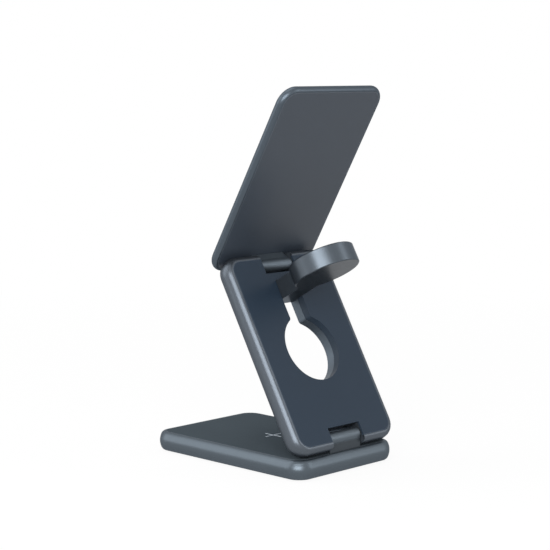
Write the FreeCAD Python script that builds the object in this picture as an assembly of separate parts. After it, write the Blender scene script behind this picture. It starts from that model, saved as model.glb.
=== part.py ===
import FreeCAD, Part
import math
import os

V = FreeCAD.Vector
X_AXIS = V(1, 0, 0)
Z_AXIS = V(0, 0, 1)

# Foldable three in one wireless charger, set up as a Z-shaped stand.
# Origin: centre of the base's underside. +Z up, +Y to the back, the user sits at -Y.

# Panels: one outline for all three
panel_width = 66.0
panel_length = 97.0
corner_radius = 8.4
base_thickness = 9.0
support_thickness = 8.2
phone_thickness = 4.0

# Rounded rims: how far in the flat face starts, and the small radius at its edge
base_rim_inset = 2.7
base_rim_shoulder = 2.2
support_rim_inset = 2.6
support_rim_shoulder = 2.3
phone_rim_inset = 1.4
phone_rim_shoulder = 0.9

# Covers let flush into the frames
rim_land = 0.2
cover_gap = 0.12
base_cover_thickness = 1.2
support_cover_thickness = 1.0
phone_cover_thickness = 0.8
base_wall = 5.0
support_wall = 4.6
phone_wall = 3.6
base_pocket_corner = 12.0
pocket_corner = 4.0

# Stance: tilt of the support and of the phone panel above the table
support_tilt = 60.0
phone_tilt = 60.0

# Folding hinges
hinge_inset = 5.2
hinge_gap = 0.3
base_hinge_setback = 5.5
phone_hinge_setback = 5.3
barrel_radius = 3.1
barrel_edge = 0.35
knuckle_half_width = 10.2
knuckle_foot_half = 2.6
notch_side_gap = 0.3
lower_notch_depth = 9.6
upper_notch_depth = 10.5
notch_web_gap = 0.4
upper_web_below_axis = 1.4
notch_floor_wall = 1.5
notch_lip = 1.2
seat_gap = 0.1
base_tenon_depth = 5.0
phone_tenon_depth = 1.8
tenon_block_half = 14.0
tenon_block_depth = 12.0

# Hinge shafts, and the sprung bushes that give them friction
shaft_radius = 1.5
shaft_fit = 0.02
shaft_running_gap = 0.05
bush_radius = 2.5
bush_length = 6.0
bush_fit = 0.02
bush_bore_lead = 0.5
bush_end_wall = 1.2

# Watch paddle and the keyhole it folds into
disc_radius = 15.6
disc_thickness = 9.1
disc_above_pivot = 4.85
disc_edge = 0.4
arm_half_width = 6.3
arm_length = 29.5
arm_end_radius = 5.05
pivot_drop = 19.3
head_gap = 0.5
slot_gap = 0.3
keyhole_junction = 1.7
keyhole_top_corner = 0.8
skirt_wall = 1.0
skirt_split = 0.5
skirt_joint = 0.1
pin_radius = 1.0
pin_fit = 0.02
pin_running_gap = 0.05
pin_hole_gap = 0.3
pivot_block_length = 4.0
pivot_block_half = 2.6
pivot_block_depth = 1.9

# Watch charging head
watch_wall = 2.6
watch_floor = 1.4
watch_pad_thickness = 1.4
watch_pad_gap = 0.1
watch_pad_ledge = 0.8
watch_pad_dish = 0.6
watch_pad_dish_rim = 1.4
watch_coil_height = 2.2
watch_coil_inner = 5.0
watch_coil_gap = 0.4
watch_magnet_radius = 4.2
watch_ferrite_thickness = 0.8
watch_board_radius = 9.0
watch_board_thickness = 0.8
watch_board_gap = 1.0

# Phone charging head
phone_coil_margin = 1.5
phone_coil_inner = 11.0
phone_stack_gap = 0.1
phone_ferrite_thickness = 0.5
magnet_ring_side_gap = 2.2
magnet_ring_board_gap = 2.5
magnet_ring_width = 4.2
magnet_count = 16
magnet_gap_deg = 1.6
phone_board_size = (30.0, 12.0, 0.8)
phone_board_block_gap = 2.0
phone_chip_size = (5.0, 5.0, 0.9)
phone_chip_places = (-8.0, 0.0, 8.0)

# Earbud charging head, board, weight and socket in the base
earbud_coil_outer = 20.0
earbud_coil_inner = 9.0
earbud_coil_height = 2.0
earbud_ferrite_margin = 1.0
earbud_ferrite_thickness = 0.6
mark_arm = 5.0
mark_width = 0.5
mark_depth = 0.15
weight_side_gap = 3.0
weight_end_gap = 4.5
weight_height = 2.8
weight_corner = 3.0
board_length = 19.0
board_thickness = 1.0
board_gap = 0.3
board_corner = 1.0
board_chip_places = ((-8.0, -3.0), (4.0, 3.5), (13.0, -3.5))
board_chip_sizes = ((6.0, 6.0, 1.0), (5.0, 5.0, 0.9), (4.0, 4.0, 0.9))
capacitor_places = ((-1.0, -4.0), (20.0, 3.0))
capacitor_radius = 2.6
capacitor_height = 3.0
post_radius = 1.6
post_inset = 3.5
foot_height = 0.5
foot_recess = 0.5
foot_margin = 4.5
foot_corner = 5.0
socket_from_pocket_end = 12.0
socket_width = 9.0
socket_height = 3.2
socket_depth = 7.4
socket_wall = 0.3
socket_gap = 0.15
socket_inset = 0.4
socket_roundness = 0.99
tongue_width = 6.7
tongue_height = 0.7
tongue_recess = 0.8

# Screws
cover_screw_inset = 7.4
screw_radius = 0.9
screw_head_radius = 1.7
screw_head_height = 0.7
screw_fit = 0.05
cover_screw_length = 5.0
knuckle_screw_x = 6.0
knuckle_screw_bite = 3.5
screw_end_gap = 0.3
cross_recess = (0.5, 1.9, 0.4)

# Power ribbon inside the support
ribbon_width = 5.0
ribbon_thickness = 0.4
ribbon_side_gap = 2.9
ribbon_end_gap = 2.0

# How far a cutting shape runs past the face it opens
overshoot = 1.0
# Two edges nearer than this are at the same place
same_place = 0.1

base_half = base_thickness / 2
support_half = support_thickness / 2
phone_half = phone_thickness / 2
half_length = panel_length / 2
half_width = panel_width / 2
keyhole_radius = disc_radius + head_gap
slot_half = arm_half_width + slot_gap
slot_top = arm_end_radius + slot_gap
notch_half = knuckle_half_width + notch_side_gap
socket_y = base_wall + socket_from_pocket_end - half_length
magnet_ring_outer = half_width - phone_wall - magnet_ring_side_gap
magnet_ring_inner = magnet_ring_outer - magnet_ring_width
phone_coil_outer = magnet_ring_inner - phone_coil_margin
phone_board_back = tenon_block_depth + phone_board_block_gap - half_length
phone_board_y = phone_board_back + phone_board_size[1] / 2
phone_coil_y = phone_board_back + phone_board_size[1] + magnet_ring_board_gap + magnet_ring_outer
ribbon_x = half_width - support_wall - ribbon_side_gap - ribbon_width / 2

# The support's rounded end swings past the base and the phone panel: the hinge
# axis stands off their faces by that end's reach and a gap.
end_reach = math.hypot(hinge_inset - support_rim_inset, support_half - support_rim_shoulder)
end_reach = end_reach + support_rim_shoulder
hinge_rise = end_reach + hinge_gap


def box(x0, x1, y0, y1, z0, z1):
    return Part.makeBox(x1 - x0, y1 - y0, z1 - z0, V(x0, y0, z0))


def disc(radius, z0, z1, y=0.0):
    return Part.makeCylinder(radius, z1 - z0, V(0, y, z0), Z_AXIS)


def rod(radius, x0, x1, y=0.0, z=0.0):
    return Part.makeCylinder(radius, x1 - x0, V(x0, y, z), X_AXIS)


def tube(outer, inner, z0, z1, y=0.0):
    return disc(outer, z0, z1, y).cut(disc(inner, z0, z1, y))


def edges_along(shape, axis):
    """The straight edges of a shape that run along an axis."""
    return [e for e in shape.Edges if abs(e.tangentAt(e.FirstParameter).dot(axis)) > 0.99]


def round_edges(shape):
    return [e for e in shape.Edges if e.Curve.TypeId == "Part::GeomCircle"]


def rounded_prism(half_x, half_y, radius, z0, z1, y=0.0):
    """A plate with rounded corners, centred on x = 0 and on the given y."""
    plate = box(-half_x, half_x, y - half_y, y + half_y, z0, z1)
    return plate.makeFillet(radius, edges_along(plate, Z_AXIS))


def rim_section(inset, shoulder, half):
    """Half section of a panel from its corner's axis out to the bulged rim."""
    side = (inset ** 2 + (half - shoulder) ** 2 - shoulder ** 2) / (2 * (inset - shoulder))
    angle = math.atan2(half - shoulder, side - inset)
    flat = corner_radius - inset
    join = V(flat + shoulder * math.cos(angle), 0, half - shoulder + shoulder * math.sin(angle))
    bisector = (angle + math.pi / 2) / 2
    crown = V(flat + shoulder * math.cos(bisector), 0, half - shoulder + shoulder * math.sin(bisector))

    def below(point):
        return V(point.x, 0, -point.z)

    top = V(flat, 0, half)
    edges = [
        Part.makeLine(V(0, 0, -half), V(0, 0, half)),
        Part.makeLine(V(0, 0, half), top),
        Part.Arc(top, crown, join).toShape(),
        Part.Arc(join, V(corner_radius, 0, 0), below(join)).toShape(),
        Part.Arc(below(join), below(crown), below(top)).toShape(),
        Part.makeLine(below(top), V(0, 0, -half)),
    ]
    return Part.Face(Part.Wire(edges))


def panel_slab(inset, shoulder, half):
    """A whole panel: the rim section swept round the rounded outline."""
    section = rim_section(inset, shoulder, half)
    core_x = half_width - corner_radius
    core_y = half_length - corner_radius
    solids = [box(-core_x, core_x, -core_y, core_y, -half, half)]
    stops = [V(core_x, core_y, 0), V(-core_x, core_y, 0), V(-core_x, -core_y, 0), V(core_x, -core_y, 0)]
    for quarter, centre in enumerate(stops):
        corner = section.copy()
        corner.rotate(V(0, 0, 0), Z_AXIS, 90 * quarter)
        corner.translate(centre)
        solids.append(corner.revolve(centre, Z_AXIS, 90))
        side = corner.copy()
        side.rotate(centre, Z_AXIS, 90)
        following = stops[(quarter + 1) % 4]
        solids.append(side.extrude(following - centre))
    return solids[0].multiFuse(solids[1:]).removeSplitter()


def cover_outline(inset, gap, z0, z1):
    """The plate, or with no gap its seat, inside a panel's rim."""
    margin = inset + rim_land + gap
    return rounded_prism(half_width - margin, half_length - margin, corner_radius - margin, z0, z1)


def frame(inset, shoulder, half, wall, cover, pocket_radius, blocks):
    """A panel's frame: rim and ledge, with seats for a cover on each face."""
    pocket = rounded_prism(half_width - wall, half_length - wall, pocket_radius, -half, half)
    for block in blocks:
        pocket = pocket.cut(block)
    body = panel_slab(inset, shoulder, half).cut(pocket)
    body = body.cut(cover_outline(inset, 0.0, half - cover, half))
    return body.cut(cover_outline(inset, 0.0, -half, cover - half))


def hinge_notch(end, depth, half):
    """Space for the knuckle in one end of the support, its mouth's corners eased."""
    floor = end * (half_length - depth)
    mouth = end * (half_length + overshoot)
    low, high = sorted((floor, mouth))
    notch = box(-notch_half, notch_half, low, high, -half, half)
    edge = end * half_length
    for side in (-1, 1):
        x0, x1 = sorted((side * notch_half, side * (notch_half + notch_lip)))
        y0, y1 = sorted((edge, edge - end * notch_lip))
        centre = V(side * (notch_half + notch_lip), edge - end * notch_lip, -half)
        lip = box(x0, x1, y0, y1, -half, half)
        notch = notch.fuse(lip.cut(Part.makeCylinder(notch_lip, 2 * half, centre)))
    return notch


def keyhole(offset, z0, z1):
    """The paddle's outline in the support: a round hole with a slot running up to the pivot."""
    hole_y = pivot_y - arm_length
    top = pivot_y + slot_top + offset
    half = slot_half + offset
    slot = box(-half, half, hole_y, top, z0, z1)
    upper = [e for e in edges_along(slot, Z_AXIS) if e.CenterOfMass.y > pivot_y]
    slot = slot.makeFillet(keyhole_top_corner + offset, upper)
    radius = keyhole_radius + offset
    shape = disc(radius, z0, z1, hole_y).fuse(slot).removeSplitter()
    junction_y = hole_y + math.sqrt(radius ** 2 - half ** 2)
    inner = [e for e in edges_along(shape, Z_AXIS) if abs(e.CenterOfMass.y - junction_y) < same_place]
    corners = [e for e in inner if abs(abs(e.CenterOfMass.x) - half) < same_place]
    return shape.makeFillet(keyhole_junction - offset, corners)


def knuckle(tenon_depth):
    """Hinge barrel on a foot that is let into a panel; axis on X through the origin."""
    barrel = rod(barrel_radius, -knuckle_half_width, knuckle_half_width)
    barrel = barrel.makeChamfer(barrel_edge, round_edges(barrel))
    depth = hinge_rise + tenon_depth
    foot = box(-knuckle_half_width, knuckle_half_width, -knuckle_foot_half, knuckle_foot_half, -depth, 0)
    body = barrel.fuse(foot).removeSplitter()
    body = body.cut(rod(shaft_radius + shaft_fit, -knuckle_half_width, knuckle_half_width))
    for x in (-knuckle_screw_x, knuckle_screw_x):
        hole = Part.makeCylinder(screw_radius + screw_fit, knuckle_screw_bite + screw_end_gap,
                                 V(x, 0, -depth), Z_AXIS)
        body = body.cut(hole)
    return body


def tenon_seat(y, half, face, depth):
    """Pocket for a knuckle's foot, sunk from the face at z = face * half."""
    z0, z1 = sorted((face * half, face * (half - depth - seat_gap)))
    return box(-knuckle_half_width - seat_gap, knuckle_half_width + seat_gap,
               y - knuckle_foot_half - seat_gap, y + knuckle_foot_half + seat_gap, z0, z1)


def screw(x, y, z, length, direction):
    """Flat-headed screw; its head's outer face is at z, its thread runs along direction."""
    head = Part.makeCylinder(screw_head_radius, screw_head_height, V(0, 0, 0), Z_AXIS)
    shank = Part.makeCylinder(screw_radius, length, V(0, 0, 0), Z_AXIS)
    width, reach, depth = cross_recess
    body = head.fuse(shank).removeSplitter()
    body = body.cut(box(-width / 2, width / 2, -reach / 2, reach / 2, 0, depth))
    body = body.cut(box(-reach / 2, reach / 2, -width / 2, width / 2, 0, depth))
    if direction < 0:
        body.rotate(V(0, 0, 0), X_AXIS, 180)
    body.translate(V(x, y, z))
    return body


def screw_seat(x, y, z, length, direction):
    """Bore and head recess for a screw."""
    head = Part.makeCylinder(screw_head_radius + screw_fit, screw_head_height + screw_fit)
    shank = Part.makeCylinder(screw_radius + screw_fit, length + screw_fit)
    body = head.fuse(shank)
    if direction < 0:
        body.rotate(V(0, 0, 0), X_AXIS, 180)
    body.translate(V(x, y, z))
    return body


def shaft_bores(y, half_span, radius):
    """Bores on both sides of a notch for the friction bushes."""
    near = notch_half - bush_bore_lead
    return rod(radius, near, half_span, y).fuse(rod(radius, -half_span, -near, y))


def bushes(y):
    """The two friction bushes of one hinge, one each side of its notch."""
    start = notch_half + notch_side_gap
    made = []
    for x0 in (start, -start - bush_length):
        bush = rod(bush_radius, x0, x0 + bush_length, y)
        made.append(bush.cut(rod(shaft_radius + shaft_running_gap, x0, x0 + bush_length, y)))
    return Part.makeCompound(made)


# Hinge axes and the paddle's pivot, in each panel's own frame: y along the panel,
# z out of its charging face (out of the front face on the support)
base_axis_y = half_length - base_hinge_setback
base_axis_z = base_half + hinge_rise
support_axis_y = half_length - hinge_inset
phone_axis_y = -half_length + phone_hinge_setback
phone_axis_z = -phone_half - hinge_rise
pivot_y = half_length - pivot_drop
shaft_half = notch_half + notch_side_gap + bush_length
end_block_half = shaft_half + bush_end_wall


def base_pieces():
    half = base_half
    floor = base_cover_thickness - half
    ceiling = half - base_cover_thickness
    block = box(-tenon_block_half, tenon_block_half,
                half_length - tenon_block_depth, half_length, -half, half)
    body = frame(base_rim_inset, base_rim_shoulder, half, base_wall, base_cover_thickness,
                 base_pocket_corner, [block])
    seat = tenon_seat(base_axis_y, half, 1, base_tenon_depth)
    body = body.cut(seat)
    top = cover_outline(base_rim_inset, cover_gap, ceiling, half).cut(seat)
    arms = box(-mark_arm, mark_arm, -mark_width / 2, mark_width / 2, half - mark_depth, half)
    arms = arms.fuse(box(-mark_width / 2, mark_width / 2, -mark_arm, mark_arm, half - mark_depth, half))
    top = top.cut(arms)

    bottom = cover_outline(base_rim_inset, cover_gap, -half, floor)
    foot_half_x = half_width - foot_margin
    foot_half_y = half_length - foot_margin
    recess = rounded_prism(foot_half_x + cover_gap, foot_half_y + cover_gap, foot_corner + cover_gap,
                           -half, foot_recess - half)
    bottom = bottom.cut(recess)
    foot = rounded_prism(foot_half_x, foot_half_y, foot_corner, -half - foot_height, foot_recess - half)

    # Main board on four posts of the bottom cover, socket on its edge
    board_top = -socket_height / 2
    board_low = board_top - board_thickness
    board_x = half_width - base_wall - board_gap
    board_front = half_length - base_wall - board_gap
    board_back = board_front - board_length
    board = rounded_prism(board_x, board_front, base_pocket_corner - board_gap, board_low, board_top)
    board = board.cut(box(-board_x, board_x, -board_back, board_front, board_low, board_top))
    post_places = [(board_x - post_inset, -board_back - post_inset),
                   (board_x - base_pocket_corner - post_inset, -board_front + post_inset)]
    for x, y in post_places:
        for side in (-1, 1):
            post = Part.makeCylinder(post_radius, board_low - floor, V(side * x, y, floor))
            bottom = bottom.fuse(post)

    screws = []
    for sx in (-1, 1):
        for sy in (-1, 1):
            x = sx * (half_width - cover_screw_inset)
            y = sy * (half_length - cover_screw_inset)
            z = foot_recess - half
            bottom = bottom.cut(screw_seat(x, y, z, cover_screw_length, 1))
            body = body.cut(screw_seat(x, y, z, cover_screw_length, 1))
            screws.append(screw(x, y, z, cover_screw_length, 1))

    knuckle_screws = []
    tenon_end = half - base_tenon_depth
    for x in (-knuckle_screw_x, knuckle_screw_x):
        length = tenon_end - floor + knuckle_screw_bite
        body = body.cut(screw_seat(x, base_axis_y, floor, length, 1))
        knuckle_screws.append(screw(x, base_axis_y, floor, length, 1))

    lower_knuckle = knuckle(base_tenon_depth)
    lower_knuckle.translate(V(0, base_axis_y, base_axis_z))
    shaft = rod(shaft_radius, -shaft_half, shaft_half, base_axis_y, base_axis_z)

    # Socket: a drawn shell with a tongue, in an opening of the left wall
    shell_x = -half_width + socket_inset
    body = body.cut(socket_prism(socket_gap, -half_width - overshoot, shell_x + socket_depth + overshoot))
    shell = socket_prism(0.0, shell_x, shell_x + socket_depth)
    shell = shell.cut(socket_prism(-socket_wall, shell_x - overshoot, shell_x + socket_depth - socket_wall))
    tongue = box(shell_x + tongue_recess, shell_x + socket_depth - socket_wall,
                 socket_y - tongue_width / 2, socket_y + tongue_width / 2,
                 -tongue_height / 2, tongue_height / 2)
    shell = shell.fuse(tongue)

    weight_x = half_width - base_wall - weight_side_gap
    weight_front = weight_end_gap - board_back
    weight_back = half_length - tenon_block_depth - weight_end_gap
    weight = rounded_prism(weight_x, (weight_back - weight_front) / 2, weight_corner,
                           floor, floor + weight_height, (weight_back + weight_front) / 2)
    coil = tube(earbud_coil_outer, earbud_coil_inner, ceiling - earbud_coil_height, ceiling)
    under = ceiling - earbud_coil_height
    ferrite = disc(earbud_coil_outer + earbud_ferrite_margin, under - earbud_ferrite_thickness, under)
    return {
        "base_frame": body, "base_top_plate": top, "base_bottom_cover": bottom, "base_foot_pad": foot,
        "base_counterweight": weight, "earbud_coil": coil, "earbud_ferrite": ferrite,
        "main_board": board, "main_board_parts": main_board_parts(board_top),
        "power_socket": shell, "base_cover_screws": Part.makeCompound(screws),
        "lower_knuckle": lower_knuckle, "lower_knuckle_screws": Part.makeCompound(knuckle_screws),
        "lower_hinge_shaft": shaft,
    }


def socket_prism(offset, x0, x1):
    """The socket's flattened round outline, grown by offset, run along X."""
    half_y = socket_width / 2 + offset
    half_z = socket_height / 2 + offset
    block = box(x0, x1, socket_y - half_y, socket_y + half_y, -half_z, half_z)
    return block.makeFillet(socket_roundness * half_z, edges_along(block, X_AXIS))


def chip(x, y, z, size):
    """A chip standing on a board at height z."""
    width, depth, height = size
    return box(x - width / 2, x + width / 2, y - depth / 2, y + depth / 2, z, z + height)


def main_board_parts(top):
    """Converter chips and capacitors on the main board."""
    parts = [chip(x, socket_y + dy, top, size)
             for (x, dy), size in zip(board_chip_places, board_chip_sizes)]
    for x, dy in capacitor_places:
        parts.append(Part.makeCylinder(capacitor_radius, capacitor_height, V(x, socket_y + dy, top)))
    return Part.makeCompound(parts)


def support_pieces():
    half = support_half
    depths = {-1: lower_notch_depth, 1: upper_notch_depth}
    # In front the base's knuckle swings past the web, the phone panel's stays above it
    webs = {-1: hinge_inset + knuckle_foot_half + notch_web_gap, 1: hinge_inset + upper_web_below_axis}
    blocks = []
    for end, depth in depths.items():
        y0, y1 = sorted((end * (half_length - depth - notch_floor_wall), end * half_length))
        blocks.append(box(-end_block_half, end_block_half, y0, y1, -half, half))
    body = frame(support_rim_inset, support_rim_shoulder, half, support_wall, support_cover_thickness,
                 pocket_corner, blocks)
    rear = cover_outline(support_rim_inset, cover_gap, -half, support_cover_thickness - half)
    front = cover_outline(support_rim_inset, cover_gap, half - support_cover_thickness, half)
    for end, depth in depths.items():
        notch = hinge_notch(end, depth, half)
        body = body.cut(notch)
        rear = rear.cut(notch)
        front = front.cut(hinge_notch(end, webs[end], half))
        body = body.cut(shaft_bores(end * support_axis_y, end_block_half, bush_radius + bush_fit))

    # Both covers turn in round the keyhole and meet inside it
    opening = keyhole(0.0, -half, half)
    rear_skirt = keyhole(skirt_wall, support_cover_thickness - half, -skirt_split - skirt_joint)
    front_skirt = keyhole(skirt_wall, -skirt_split, half - support_cover_thickness)
    rear = rear.fuse(rear_skirt).cut(opening)
    front = front.fuse(front_skirt)
    block_x = slot_half + skirt_wall
    pin_half = block_x + pivot_block_length
    for side in (-1, 1):
        x0, x1 = sorted((side * slot_half, side * pin_half))
        front = front.fuse(box(x0, x1, pivot_y - pivot_block_half, pivot_y + pivot_block_half,
                               -pivot_block_depth, half - support_cover_thickness))
    pin_bore = rod(pin_radius + pin_fit, -pin_half, pin_half, pivot_y)
    front = front.cut(opening).cut(pin_bore)
    relief = box(-pin_half - skirt_joint, pin_half + skirt_joint,
                 pivot_y - pivot_block_half - skirt_joint, pivot_y + pivot_block_half + skirt_joint,
                 -pivot_block_depth - skirt_joint, half)
    rear = rear.cut(relief)
    pin = rod(pin_radius, -pin_half, pin_half, pivot_y)

    ribbon_reach = half_length - support_wall - ribbon_end_gap
    under = half - support_cover_thickness
    ribbon = box(ribbon_x - ribbon_width / 2, ribbon_x + ribbon_width / 2, -ribbon_reach, ribbon_reach,
                 under - ribbon_thickness, under)
    return {
        "support_frame": body, "support_rear_cover": rear, "support_front_cover": front,
        "support_power_ribbon": ribbon, "watch_pivot_pin": pin,
        "lower_friction_bushes": bushes(-support_axis_y), "upper_friction_bushes": bushes(support_axis_y),
    }


def phone_pieces():
    half = phone_half
    floor = phone_cover_thickness - half
    block = box(-tenon_block_half, tenon_block_half,
                -half_length, tenon_block_depth - half_length, -half, half)
    body = frame(phone_rim_inset, phone_rim_shoulder, half, phone_wall, phone_cover_thickness,
                 pocket_corner, [block])
    back = cover_outline(phone_rim_inset, cover_gap, -half, floor)
    pad = cover_outline(phone_rim_inset, cover_gap, -floor, half)
    seat = tenon_seat(phone_axis_y, half, -1, phone_tenon_depth)
    body = body.cut(seat)
    back = back.cut(seat)

    upper_knuckle = knuckle(phone_tenon_depth)
    upper_knuckle.rotate(V(0, 0, 0), X_AXIS, 180)
    upper_knuckle.translate(V(0, phone_axis_y, phone_axis_z))
    shaft = rod(shaft_radius, -shaft_half, shaft_half, phone_axis_y, phone_axis_z)
    screws = []
    length = phone_thickness - phone_cover_thickness - phone_tenon_depth + knuckle_screw_bite
    for x in (-knuckle_screw_x, knuckle_screw_x):
        body = body.cut(screw_seat(x, phone_axis_y, -floor, length, -1))
        screws.append(screw(x, phone_axis_y, -floor, length, -1))

    ferrite = disc(phone_coil_outer, floor, floor + phone_ferrite_thickness, phone_coil_y)
    stack_top = -floor - phone_stack_gap
    coil = tube(phone_coil_outer, phone_coil_inner, floor + phone_ferrite_thickness, stack_top, phone_coil_y)
    board_x, board_depth, board_height = phone_board_size
    chip_top = floor + board_height
    board = rounded_prism(board_x / 2, board_depth / 2, board_corner, floor, chip_top, phone_board_y)
    chips = [chip(x, phone_board_y, chip_top, phone_chip_size) for x in phone_chip_places]
    return {
        "phone_frame": body, "phone_back_plate": back, "phone_front_pad": pad,
        "phone_coil": coil, "phone_ferrite": ferrite, "phone_magnets": magnet_ring(floor, stack_top),
        "phone_board": board, "phone_board_parts": Part.makeCompound(chips),
        "upper_knuckle": upper_knuckle, "upper_knuckle_screws": Part.makeCompound(screws),
        "upper_hinge_shaft": shaft,
    }


def magnet_ring(floor, top):
    """Arc-shaped magnets in a ring round the phone coil."""
    pitch = 360.0 / magnet_count
    made = []
    for index in range(magnet_count):
        sweep = pitch - magnet_gap_deg
        outer = Part.makeCylinder(magnet_ring_outer, top - floor, V(0, 0, 0), Z_AXIS, sweep)
        inner = Part.makeCylinder(magnet_ring_inner, top - floor)
        piece = outer.cut(inner)
        piece.rotate(V(0, 0, 0), Z_AXIS, index * pitch)
        piece.translate(V(0, phone_coil_y, floor))
        made.append(piece)
    return Part.makeCompound(made)


def watch_pieces():
    """The paddle: origin on its pivot, y out along the arm, z out of the charging face."""
    face = disc_above_pivot
    under = face - disc_thickness
    head = disc(disc_radius, under, face, arm_length)
    head = head.makeChamfer(disc_edge, round_edges(head))
    # The arm's end is rounded about the pivot and stops flush with the support's front face
    end = rod(arm_end_radius, -arm_half_width, arm_half_width)
    end = end.common(box(-arm_half_width, arm_half_width, -support_half, 0, under, face))
    arm = box(-arm_half_width, arm_half_width, 0, arm_length, under, face)
    housing = head.fuse(arm).fuse(end).removeSplitter()
    housing = housing.cut(rod(pin_radius + pin_running_gap, -arm_half_width, arm_half_width))

    pad_radius = disc_radius - watch_wall
    pad_low = face - watch_pad_thickness
    coil_outer = pad_radius - watch_pad_ledge
    ferrite_low = pad_low - watch_coil_height - watch_ferrite_thickness
    board_well = watch_board_radius + watch_board_gap
    floor = under + watch_floor
    housing = housing.cut(disc(pad_radius, pad_low, face, arm_length))
    housing = housing.cut(disc(coil_outer, ferrite_low, face, arm_length))
    housing = housing.cut(disc(board_well, floor, face, arm_length))

    pad_top = pad_radius - watch_pad_gap
    pad = disc(pad_top, pad_low, face, arm_length)
    dish = pad_top - watch_pad_dish_rim
    ball = (dish ** 2 + watch_pad_dish ** 2) / (2 * watch_pad_dish)
    pad = pad.cut(Part.makeSphere(ball, V(0, arm_length, face - watch_pad_dish + ball)))
    coil_radius = coil_outer - watch_coil_gap
    coil_low = pad_low - watch_coil_height
    coil = tube(coil_radius, watch_coil_inner, coil_low, pad_low, arm_length)
    magnet = disc(watch_magnet_radius, coil_low, pad_low, arm_length)
    ferrite = disc(coil_radius, ferrite_low, coil_low, arm_length)
    board = disc(watch_board_radius, floor, floor + watch_board_thickness, arm_length)
    return {
        "watch_housing": housing, "watch_charging_pad": pad, "watch_coil": coil,
        "watch_magnet": magnet, "watch_ferrite": ferrite, "watch_board": board,
    }


def along(angle, y, z):
    """A local (y, z) offset turned by angle about X, as a vector in the part's frame."""
    turn = math.radians(angle)
    return V(0, y * math.cos(turn) - z * math.sin(turn), y * math.sin(turn) + z * math.cos(turn))


def placements():
    """Where each panel stands: origin and its turn about X, in degrees."""
    base = V(0, 0, foot_height + base_half)
    support_turn = 180.0 - support_tilt
    lower_axis = base + along(0, base_axis_y, base_axis_z)
    support = lower_axis - along(support_turn, -support_axis_y, 0)
    upper_axis = support + along(support_turn, support_axis_y, 0)
    phone = upper_axis - along(phone_tilt, phone_axis_y, phone_axis_z)
    paddle = support + along(support_turn, pivot_y, 0)
    return {
        "base": (base, 0.0), "support": (support, support_turn),
        "phone": (phone, phone_tilt), "watch": (paddle, support_turn - 90.0),
    }


def main():
    os.makedirs("parts", exist_ok=True)
    groups = {"base": base_pieces, "support": support_pieces, "phone": phone_pieces, "watch": watch_pieces}
    for name, (origin, turn) in placements().items():
        for node, shape in groups[name]().items():
            shape.rotate(V(0, 0, 0), X_AXIS, turn)
            shape.translate(origin)
            shape.exportStep("parts/%s.step" % node)


main()
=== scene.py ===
import math

import bpy
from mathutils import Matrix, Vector


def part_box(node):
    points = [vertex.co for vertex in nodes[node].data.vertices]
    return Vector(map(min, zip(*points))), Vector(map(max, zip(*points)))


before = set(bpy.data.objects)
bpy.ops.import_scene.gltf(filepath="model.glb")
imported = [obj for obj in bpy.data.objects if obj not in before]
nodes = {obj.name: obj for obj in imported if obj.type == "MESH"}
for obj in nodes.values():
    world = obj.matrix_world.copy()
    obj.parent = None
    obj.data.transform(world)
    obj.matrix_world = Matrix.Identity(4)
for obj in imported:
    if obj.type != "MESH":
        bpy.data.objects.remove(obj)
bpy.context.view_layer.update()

MM = 0.001

# How far the panels and the paddle are turned about X, as the frame has them
SUPPORT_TURN = math.radians(120)
PHONE_TURN = math.radians(60)
PADDLE_TURN = math.radians(30)

# The panels' corners and the widths of their rims, in millimetres
CORNER = 8.4
BASE_RIM, SUPPORT_RIM, PHONE_RIM = 2.9, 2.8, 1.6

# The photograph's viewpoint: millimetres for the lens, then degrees and metres
LENS, SENSOR = 109.690, 36.0
AZIMUTH, ELEVATION, DISTANCE = 134.189, 7.101, 0.7806
LOOK_AT = Vector((0.00116, 0.00228, 0.08603))

# The backdrop's light, and the floor, in metres: it shows a share of white near the object
# and plain white further off
PLAIN_WHITE = (1.0, 1.0, 1.0, 1.0)
WHITE_GLOW = 1.0
SKY_FILL = 0.42
FLOOR_TONE = 0.86
FLOOR_ROUGHNESS = 0.9
FLOOR_SIZE = 6.0
FLOOR_WHITE_SHARE = 0.92
FLOOR_WHITE_FROM, FLOOR_WHITE_AT = 0.12, 0.6


def extent(node):
    """The centre and the half sizes of a CAD node's box, in metres."""
    low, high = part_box(node)
    return (low + high) / 2, (high - low) / 2


def middle(node):
    """The centre alone."""
    return extent(node)[0]


# Half the width and half the length of the outline that the panels share, in millimetres
PANEL_HALF = [half / MM for half in extent("base_frame")[1]][:2]


def linear(red, green, blue):
    """A colour seen on screen, 0 to 255, as the shader's numbers."""
    def one(value):
        value = value / 255
        return value / 12.92 if value <= 0.04045 else ((value + 0.055) / 1.055) ** 2.4
    return (one(red), one(green), one(blue), 1.0)


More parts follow.
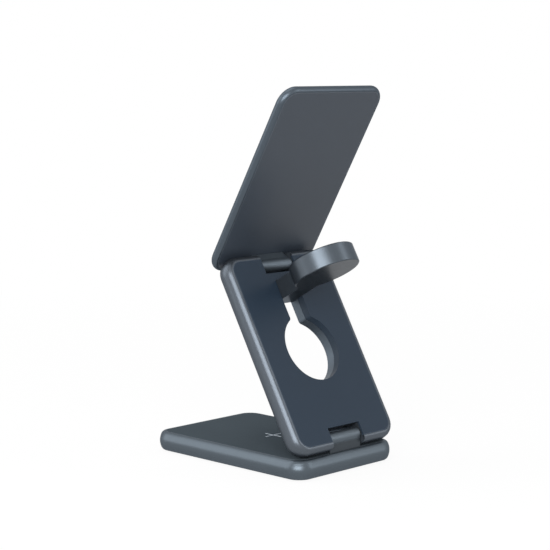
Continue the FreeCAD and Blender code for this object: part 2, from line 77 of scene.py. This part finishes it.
class Value:
    """A number on a shader socket. Arithmetic on values adds Math nodes."""

    def __init__(self, shading, socket):
        self.shading = shading
        self.socket = socket

    def maths(self, operation, *others, clamp=False):
        return self.shading.maths(operation, self, *others, clamp=clamp)

    def __add__(self, other):
        return self.maths("ADD", other)

    def __radd__(self, other):
        return self.shading.maths("ADD", other, self)

    def __sub__(self, other):
        return self.maths("SUBTRACT", other)

    def __rsub__(self, other):
        return self.shading.maths("SUBTRACT", other, self)

    def __mul__(self, other):
        return self.maths("MULTIPLY", other)

    def __rmul__(self, other):
        return self.shading.maths("MULTIPLY", other, self)

    def __truediv__(self, other):
        return self.maths("DIVIDE", other)

    def __abs__(self):
        return self.maths("ABSOLUTE")

    def larger(self, other):
        return self.maths("MAXIMUM", other)

    def smaller(self, other):
        return self.maths("MINIMUM", other)

    def root(self):
        return self.maths("POWER", 0.5)

    def fraction(self):
        return self.maths("FRACT")

    def between(self, low, high):
        """0 below low, 1 above high, and a straight rise from one to the other."""
        return ((self - low) / (high - low)).maths("ADD", 0.0, clamp=True)

    def below(self, limit, fade):
        """1 up to the limit, then 0 past a short fade."""
        return 1.0 - self.between(limit, limit + fade)

    def spread(self, least, most):
        """Takes a pattern's 0 to 1 to a range of levels."""
        return least + (most - least) * self


class Shading:
    """The node tree of a material or of the world."""

    def __init__(self, tree):
        self.tree = tree

    def node(self, kind, settings=(), inputs=()):
        """Adds a node, sets it up, then fills its sockets with numbers or links."""
        made = self.tree.nodes.new(kind)
        for name, value in dict(settings).items():
            setattr(made, name, value)
        for name, value in dict(inputs).items():
            self.feed(made.inputs[name], value)
        return made

    def feed(self, socket, value):
        """Fills a socket with a number or a colour, or links it to another."""
        if isinstance(value, Value):
            value = value.socket
        if isinstance(value, bpy.types.NodeSocket):
            self.tree.links.new(value, socket)
        else:
            socket.default_value = value

    def maths(self, operation, *values, clamp=False):
        made = self.node("ShaderNodeMath", {"operation": operation, "use_clamp": clamp},
                         dict(enumerate(values)))
        return Value(self, made.outputs[0])

    def seen_white(self, lit, white, share=1.0):
        """Shows the camera, reflections and glass a share of white, and all other rays what is lit."""
        rays = self.node("ShaderNodeLightPath")
        kinds = ("Is Camera Ray", "Is Glossy Ray", "Is Transmission Ray")
        camera, glossy, clear = [Value(self, rays.outputs[kind]) for kind in kinds]
        seen = camera.larger(glossy).larger(clear) * share
        return self.node("ShaderNodeMixShader", inputs={"Fac": seen, 1: lit, 2: white}).outputs[0]


class Finish(Shading):
    """A material: one Principled shader, and the nodes that vary it."""

    def __init__(self, name, colour=(0.5, 0.5, 0.5, 1.0), **sockets):
        self.material = bpy.data.materials.new(name)
        self.material.use_nodes = True
        super().__init__(self.material.node_tree)
        self.tree.nodes.clear()
        self.shader = self.node("ShaderNodeBsdfPrincipled", inputs={"Base Color": colour})
        self.lit = self.shader.outputs["BSDF"]
        self.output = self.node("ShaderNodeOutputMaterial", inputs={"Surface": self.lit})
        for socket, value in sockets.items():
            self.set(socket.replace("_", " "), value)

    def set(self, socket, value):
        self.feed(self.shader.inputs[socket], value)

    def position(self):
        return self.node("ShaderNodeTexCoord").outputs["Object"]

    def local(self, centre, turn=0.0):
        """Millimetres from a centre, along a panel's own directions."""
        mapped = self.node("ShaderNodeMapping", {"vector_type": "TEXTURE"},
                           {"Vector": self.position(), "Location": centre,
                            "Rotation": (turn, 0.0, 0.0), "Scale": (MM, MM, MM)})
        return mapped.outputs["Vector"]

    def split(self, vector):
        parts = self.node("ShaderNodeSeparateXYZ", inputs={"Vector": vector})
        return [Value(self, parts.outputs[axis]) for axis in "XYZ"]

    def joined(self, x, y):
        return self.node("ShaderNodeCombineXYZ", inputs={"X": x, "Y": y}).outputs["Vector"]

    def noise(self, vector, scale, detail=2.0):
        """Soft clouds, 0 to 1. Scale is in clouds per millimetre."""
        made = self.node("ShaderNodeTexNoise",
                         inputs={"Vector": vector, "Scale": scale, "Detail": detail, "Roughness": 0.5})
        return Value(self, made.outputs["Fac"])

    def cells(self, vector, scale):
        """How far the nearest of many scattered specks is. Scale is in specks per millimetre."""
        made = self.node("ShaderNodeTexVoronoi", inputs={"Vector": vector, "Scale": scale})
        return Value(self, made.outputs["Distance"])

    def blended(self, mask, first, second):
        """The first colour where mask is 0, the second where it is 1."""
        made = self.node("ShaderNodeMix", {"data_type": "RGBA"}, {"Factor": mask, 6: first, 7: second})
        return made.outputs[2]

    def scaled(self, tone, level):
        """A tone made lighter or darker by a level that varies."""
        made = self.node("ShaderNodeVectorMath", {"operation": "SCALE"},
                         {"Vector": tone[:3], "Scale": level})
        return made.outputs["Vector"]

    def bump(self, height, depth):
        """Raises the surface by height times depth, in millimetres."""
        made = self.node("ShaderNodeBump", inputs={"Height": height, "Distance": depth * MM,
                                                   "Strength": 1.0})
        self.set("Normal", made.outputs["Normal"])

    def on(self, *names):
        """Gives the finish to CAD nodes."""
        for name in names:
            for slot in nodes[name].material_slots:
                slot.material = self.material


def length(x, y):
    """How far a point is from the middle."""
    return (x * x + y * y).root()


def outline_depth(x, y, margin):
    """How far inside the panel's outline, less a margin, a point is, in millimetres."""
    half_x, half_y = PANEL_HALF
    radius = CORNER - margin
    out_x = abs(x) - (half_x - CORNER)
    out_y = abs(y) - (half_y - CORNER)
    away = length(out_x.larger(0.0), out_y.larger(0.0))
    return radius - (away + out_x.larger(out_y).smaller(0.0))


# Satin metallic paint. It turns darker where it is seen edge-on
EDGE_TINT = (0.45, 0.47, 0.5, 1.0)
PAINT_METALLIC = 0.8
FLAKE_LIFT = 0.05
FINE_PEEL, BROAD_PEEL = 0.0015, 0.003
# A rim's side is crowned half way up, and has turned to the faces this far from there
CROWN_STRENGTH = 0.09
BASE_CROWN, SUPPORT_CROWN = 3.7, 3.2
# Painted shade on undersides: darker and less metallic below a height, and past a length along the
# piece
PADDLE_PAINTED_SHADE = (-4.2, 12.0)
FOOT_PAINTED_SHADE = (-1.8, -0.5)
PAINTED_SHADE_TONE, PAINTED_SHADE_METALLIC = 0.42, 0.5
PAINTED_SHADE_FADE, PAINTED_SHADE_LEAD = 0.1, 3.0


def metal_paint(name, node, tone, turn=0.0, roughness=0.35, about=None, crown=None, painted_shade=None):
    """Satin metallic paint: fine flake, a soft mottle and a slight orange peel, with painted shade
    underneath where asked.
    """
    paint = Finish(name, tone, Metallic=PAINT_METALLIC, Specular_IOR_Level=0.5, Specular_Tint=EDGE_TINT)
    here = paint.local(middle(about or node), turn)
    mottle = paint.noise(here, scale=0.06, detail=3.0)
    level = mottle.spread(0.95, 1.03) + FLAKE_LIFT * paint.cells(here, scale=9.0)
    x, y, z = paint.split(here)
    # Painted shade: the part below the height is made darker and less metallic
    if painted_shade:
        height, reach = painted_shade
        shade_mask = z.below(height, PAINTED_SHADE_FADE) * y.between(reach, reach + PAINTED_SHADE_LEAD)
        level = level * shade_mask.spread(1.0, PAINTED_SHADE_TONE)
        paint.set("Metallic", shade_mask.spread(PAINT_METALLIC, PAINTED_SHADE_METALLIC))
    paint.set("Base Color", paint.scaled(tone, level))
    smears = paint.noise(here, scale=0.4, detail=3.0)
    paint.set("Roughness", smears.spread(roughness - 0.03, roughness + 0.05))
    relief = (FINE_PEEL * paint.noise(here, scale=5.0, detail=2.0)
              + BROAD_PEEL * paint.noise(here, scale=1.1, detail=1.0))
    if crown:
        square = z * z
        flattening = CROWN_STRENGTH / (6 * crown ** 4)
        relief = relief + square * (square * square * flattening - CROWN_STRENGTH / 2)
    paint.bump(relief, depth=1.0)
    paint.on(node)


# Coated plates. Their borders carry a painted highlight, a lighter tone, and the walls of the support's
# openings lie within this height of its middle plane
HIGHLIGHT_BORDER_WIDTH, HIGHLIGHT_BORDER_FADE = 0.15, 0.4
BORDER_SMOOTHER = 0.1
WALL_HEIGHT, WALL_FADE = 3.98, 0.08
# The painted plus: half the width of its lines and how far they reach, in millimetres
PLUS_HALF_WIDTH, PLUS_REACH, PLUS_FADE = 0.38, 5.1, 0.05
PLUS_TONE = linear(190, 198, 206)


def plate_coat(name, node, about, rim, tone, border_highlight_tone, turn=0.0, roughness=0.45, sheen=0.15,
               wall_tone=None, wall_metallic=0.0, plus=False):
    """Smooth coated plate with a fine matt grain, measured from the frame that it lies in."""
    coat = Finish(name, tone, Specular_IOR_Level=sheen)
    here = coat.local(middle(about), turn)
    x, y, z = coat.split(here)
    # Painted highlight: a lighter tone along the plate's border
    highlight_border = outline_depth(x, y, rim).below(HIGHLIGHT_BORDER_WIDTH, HIGHLIGHT_BORDER_FADE)
    mottle = coat.noise(here, scale=0.05, detail=3.0)
    colour = coat.blended(highlight_border, coat.scaled(tone, mottle.spread(0.96, 1.04)), border_highlight_tone)
    if wall_tone:
        wall = abs(z).below(WALL_HEIGHT, WALL_FADE)
        colour = coat.blended(wall, colour, wall_tone)
        coat.set("Metallic", wall_metallic * wall)
    if plus:
        lines = abs(x).smaller(abs(y)).below(PLUS_HALF_WIDTH, PLUS_FADE)
        lines = lines * abs(x).larger(abs(y)).below(PLUS_REACH, PLUS_FADE)
        colour = coat.blended(lines, colour, PLUS_TONE)
    coat.set("Base Color", colour)
    smears = coat.noise(here, scale=0.5, detail=3.0)
    coat.set("Roughness", smears.spread(roughness, roughness + 0.05) - BORDER_SMOOTHER * highlight_border)
    coat.bump(coat.noise(here, scale=7.0), depth=0.002)
    coat.on(node)


def painted_metal():
    """The frames of the panels, the paddle's housing and the two hinge knuckles."""
    metal_paint("base_paint", "base_frame", linear(81, 89, 96), crown=BASE_CROWN)
    metal_paint("support_paint", "support_frame", linear(83, 89, 96), SUPPORT_TURN, crown=SUPPORT_CROWN)
    metal_paint("phone_paint", "phone_frame", linear(74, 82, 90), PHONE_TURN)
    # The paddle's underside and the lower knuckle's foot get painted shade
    metal_paint("paddle_paint", "watch_housing", linear(80, 87, 94), PADDLE_TURN, roughness=0.29,
                about="watch_pivot_pin", painted_shade=PADDLE_PAINTED_SHADE)
    metal_paint("hinge_metal", "lower_knuckle", linear(86, 94, 101), roughness=0.42,
                about="lower_hinge_shaft", painted_shade=FOOT_PAINTED_SHADE)
    metal_paint("upper_hinge_metal", "upper_knuckle", linear(90, 99, 107), PHONE_TURN, roughness=0.45)


def coated_plates():
    """The plates and covers that the frames hold."""
    # Each plate's second tone is the painted highlight along its border
    cover_tone, cover_border_highlight = linear(33, 45, 58), linear(64, 74, 86)
    plate_coat("base_plate_coat", "base_top_plate", "base_frame", BASE_RIM,
               linear(70, 78, 84), linear(96, 104, 112), roughness=0.6, sheen=0.0, plus=True)
    plate_coat("base_cover_coat", "base_bottom_cover", "base_frame", BASE_RIM,
               linear(58, 65, 72), linear(84, 92, 99))
    plate_coat("support_plate_coat", "support_rear_cover", "support_frame", SUPPORT_RIM,
               cover_tone, cover_border_highlight, SUPPORT_TURN, wall_tone=linear(40, 50, 61))
    plate_coat("support_front_coat", "support_front_cover", "support_frame", SUPPORT_RIM,
               cover_tone, cover_border_highlight, SUPPORT_TURN, wall_tone=linear(84, 93, 102), wall_metallic=0.7)
    plate_coat("phone_plate_coat", "phone_back_plate", "phone_frame", PHONE_RIM,
               linear(48, 55, 64), linear(74, 82, 91), PHONE_TURN, roughness=0.4, sheen=0.3)


def silicone(name, node, tone, turn=0.0, *, roughness, pebbles):
    """Soft moulded rubber with a fine grain of pebbles, so many to the millimetre."""
    cloud_lift = 0.1
    rubber = Finish(name, tone, Specular_IOR_Level=0.3)
    here = rubber.local(middle(node), turn)
    pebble = rubber.cells(here, pebbles)
    level = pebble.spread(0.9, 1.05) + cloud_lift * rubber.noise(here, scale=0.1)
    rubber.set("Base Color", rubber.scaled(tone, level))
    rubber.set("Roughness", rubber.noise(here, scale=1.0).spread(roughness, roughness + 0.1))
    rubber.bump(pebble, depth=0.03)
    rubber.on(node)


def watch_pad_gloss():
    """Glossy moulded disc with faint turned rings."""
    rings_per_mm = 2.5
    gloss = Finish("watch_pad_gloss", Specular_IOR_Level=0.5)
    here = gloss.local(middle("watch_charging_pad"), PADDLE_TURN)
    x, y, z = gloss.split(here)
    rings = (length(x, y) * rings_per_mm).fraction()
    gloss.set("Base Color", gloss.scaled(linear(40, 43, 47), rings.spread(0.95, 1.05)))
    gloss.set("Roughness", gloss.noise(here, scale=0.8).spread(0.22, 0.3))
    gloss.bump(rings, depth=0.0015)
    gloss.on("watch_charging_pad")


def moulded_pads():
    """The pads that a phone, a watch and the table touch."""
    silicone("phone_pad_rubber", "phone_front_pad", linear(48, 52, 57), PHONE_TURN,
             roughness=0.6, pebbles=3.0)
    silicone("foot_rubber", "base_foot_pad", linear(34, 35, 37), roughness=0.75, pebbles=2.0)
    watch_pad_gloss()


def turned_metal(name, tone, *names, roughness):
    """Machined metal with fine tool marks."""
    metal = Finish(name, tone, Metallic=1.0)
    here = metal.local(middle(names[0]))
    marks = metal.noise(here, scale=4.0, detail=3.0)
    metal.set("Base Color", metal.scaled(tone, marks.spread(0.9, 1.1)))
    metal.set("Roughness", marks.spread(roughness - 0.05, roughness + 0.1))
    metal.bump(metal.noise(here, scale=12.0), depth=0.006)
    metal.on(*names)


def wound_copper(name, node, turn=0.0, *, pitch):
    """Enamelled copper wire wound flat, one winding every pitch, in millimetres."""
    groove_shade_tone, crest_highlight_tone = linear(92, 46, 24), linear(205, 122, 72)
    copper = Finish(name, Metallic=1.0)
    here = copper.local(middle(node), turn)
    x, y, z = copper.split(here)
    place = (length(x, y) / pitch).fraction()
    round_wire = 1.0 - abs(place - 0.5) * 2.0
    # Painted shade in the grooves between windings, and a painted highlight on their crests
    copper.set("Base Color", copper.blended(round_wire.between(0.0, 0.5), groove_shade_tone, crest_highlight_tone))
    copper.set("Roughness", round_wire.spread(0.5, 0.3))
    copper.bump(round_wire, depth=0.2)
    copper.on(node)


def circuit_board(name, node, turn=0.0):
    """Green board: copper tracks showing through the lacquer, with tinned pads."""
    track_tone, lacquer_tone, tin_tone = linear(62, 120, 82), linear(22, 70, 46), linear(190, 188, 176)
    across, along, sharpness = 0.25, 1.1, 30.0
    board = Finish(name, Specular_IOR_Level=0.5)
    here = board.local(middle(node), turn)
    x, y, z = board.split(here)
    lanes = board.noise(board.joined(x * across, y * along), scale=1.0, detail=1.0)
    off_track = (abs(lanes - 0.5) * sharpness).between(0.4, 1.0)
    off_pad = board.cells(here, scale=0.55).between(0.28, 0.34)
    lacquer = board.blended(off_track, track_tone, lacquer_tone)
    board.set("Base Color", board.blended(off_pad, tin_tone, lacquer))
    board.set("Roughness", board.noise(here, scale=1.5).spread(0.3, 0.4))
    board.bump(1.0 - off_track, depth=0.03)
    board.on(node)


def grainy(name, tone, *names, roughness, depth, metallic=0.0):
    """Sintered, cast or moulded stock: darker specks, and a grain of a depth in millimetres."""
    stock = Finish(name, tone, Metallic=metallic)
    here = stock.local(middle(names[0]))
    specks = stock.cells(here, scale=2.2)
    stock.set("Base Color", stock.scaled(tone, specks.spread(0.8, 1.2)))
    stock.set("Roughness", stock.noise(here, scale=0.7).spread(roughness, roughness + 0.1))
    stock.bump(stock.noise(here, scale=3.0, detail=3.0), depth)
    stock.on(*names)


def ribbon_film():
    """Amber film over a row of flat conductors."""
    conductors_per_mm = 1.25
    conductor_tone, film_tone = linear(170, 92, 34), linear(206, 140, 52)
    film = Finish("amber_film", Specular_IOR_Level=0.5)
    here = film.local(middle("support_power_ribbon"), SUPPORT_TURN)
    x, y, z = film.split(here)
    gap = abs((x * conductors_per_mm).fraction() - 0.5).between(0.18, 0.24)
    film.set("Base Color", film.blended(gap, conductor_tone, film_tone))
    film.set("Roughness", film.noise(here, scale=0.6).spread(0.28, 0.38))
    film.bump(1.0 - gap, depth=0.03)
    film.on("support_power_ribbon")


def machined_pieces():
    """Shafts, the socket, screws, bushes and magnets."""
    turned_metal("polished_steel", linear(190, 192, 196),
                 "lower_hinge_shaft", "upper_hinge_shaft", "watch_pivot_pin", roughness=0.22)
    turned_metal("socket_steel", linear(168, 170, 174), "power_socket", roughness=0.3)
    turned_metal("black_screw_steel", linear(92, 94, 98),
                 "base_cover_screws", "lower_knuckle_screws", "upper_knuckle_screws", roughness=0.38)
    turned_metal("bush_bronze", linear(176, 132, 80),
                 "lower_friction_bushes", "upper_friction_bushes", roughness=0.35)
    turned_metal("magnet_nickel", linear(176, 176, 172),
                 "phone_magnets", "watch_magnet", roughness=0.28)


def cores_and_weight():
    """Ferrites behind the coils, the weight in the base and the chips on the boards."""
    grainy("ferrite", linear(58, 56, 58),
           "earbud_ferrite", "phone_ferrite", "watch_ferrite", roughness=0.55, depth=0.02)
    grainy("cast_weight", linear(120, 121, 124),
           "base_counterweight", roughness=0.45, depth=0.05, metallic=0.9)
    grainy("chip_resin", linear(30, 31, 33),
           "main_board_parts", "phone_board_parts", roughness=0.5, depth=0.01)


def circuits():
    """The three coils, the three boards and the ribbon between them."""
    wound_copper("earbud_winding", "earbud_coil", pitch=0.55)
    wound_copper("phone_winding", "phone_coil", PHONE_TURN, pitch=0.6)
    wound_copper("watch_winding", "watch_coil", PADDLE_TURN, pitch=0.45)
    circuit_board("main_circuit", "main_board")
    circuit_board("phone_circuit", "phone_board", PHONE_TURN)
    circuit_board("watch_circuit", "watch_board", PADDLE_TURN)
    ribbon_film()


def pale_floor():
    """A pale floor that runs out of view."""
    bpy.ops.object.select_all(action="DESELECT")
    bpy.ops.mesh.primitive_plane_add(size=FLOOR_SIZE, location=(0, 0, 0))
    floor = bpy.context.object
    floor.name = "studio_floor"
    paper = Finish("floor_paper", (FLOOR_TONE, FLOOR_TONE, FLOOR_TONE, 1.0),
                   Roughness=FLOOR_ROUGHNESS, Specular_IOR_Level=0.0)
    x, y, z = paper.split(paper.position())
    share = length(x, y).between(FLOOR_WHITE_FROM, FLOOR_WHITE_AT).spread(FLOOR_WHITE_SHARE, 1.0)
    glow = paper.node("ShaderNodeEmission", inputs={"Strength": WHITE_GLOW})
    paper.feed(paper.output.inputs["Surface"], paper.seen_white(paper.lit, glow.outputs[0], share))
    floor.data.materials.append(paper.material)


def white_sky():
    """A backdrop that is seen as plain white and fills the shadows with less."""
    world = bpy.data.worlds.new("studio")
    bpy.context.scene.world = world
    world.use_nodes = True
    sky = Shading(world.node_tree)
    fill = world.node_tree.nodes["Background"]
    sky.feed(fill.inputs["Color"], PLAIN_WHITE)
    sky.feed(fill.inputs["Strength"], SKY_FILL)
    white = sky.node("ShaderNodeBackground", inputs={"Color": PLAIN_WHITE, "Strength": WHITE_GLOW})
    shown = sky.seen_white(fill.outputs[0], white.outputs[0])
    sky.feed(world.node_tree.nodes["World Output"].inputs["Surface"], shown)


def face_object(made, azimuth, elevation, distance):
    """Stands a lamp or the camera off from the object's middle, facing it."""
    turn, lift = math.radians(azimuth), math.radians(elevation)
    back = Vector((math.sin(turn) * math.cos(lift), -math.cos(turn) * math.cos(lift), math.sin(lift)))
    made.location = LOOK_AT + back * distance
    made.rotation_euler = back.to_track_quat("Z", "Y").to_euler()


def soft_box(name, azimuth, elevation, distance, size, power):
    """A lamp of a width and a height, in metres, with its power in watts."""
    bpy.ops.object.light_add(type="AREA")
    made = bpy.context.object
    made.name = name
    face_object(made, azimuth, elevation, distance)
    made.data.shape = "RECTANGLE"
    made.data.size, made.data.size_y = size
    made.data.energy = power


def lamps():
    soft_box("key_box", azimuth=126, elevation=20, distance=1.2, size=(1.0, 0.75), power=15.0)
    soft_box("side_box", azimuth=46, elevation=27, distance=1.3, size=(0.9, 1.3), power=6.9)
    soft_box("back_box", azimuth=217, elevation=20, distance=1.3, size=(0.5, 0.9), power=3.4)
    soft_box("top_box", azimuth=0, elevation=80, distance=1.2, size=(0.9, 0.9), power=4.0)


def camera():
    """Looks at the object as the photograph does."""
    data = bpy.data.cameras.new("view")
    data.sensor_width = SENSOR
    data.lens = LENS
    made = bpy.data.objects.new("view", data)
    bpy.context.scene.collection.objects.link(made)
    face_object(made, AZIMUTH, ELEVATION, DISTANCE)
    bpy.context.scene.camera = made


painted_metal()
coated_plates()
moulded_pads()
machined_pieces()
cores_and_weight()
circuits()
pale_floor()
white_sky()
lamps()
camera()
bpy.context.scene.view_settings.view_transform = "Standard"
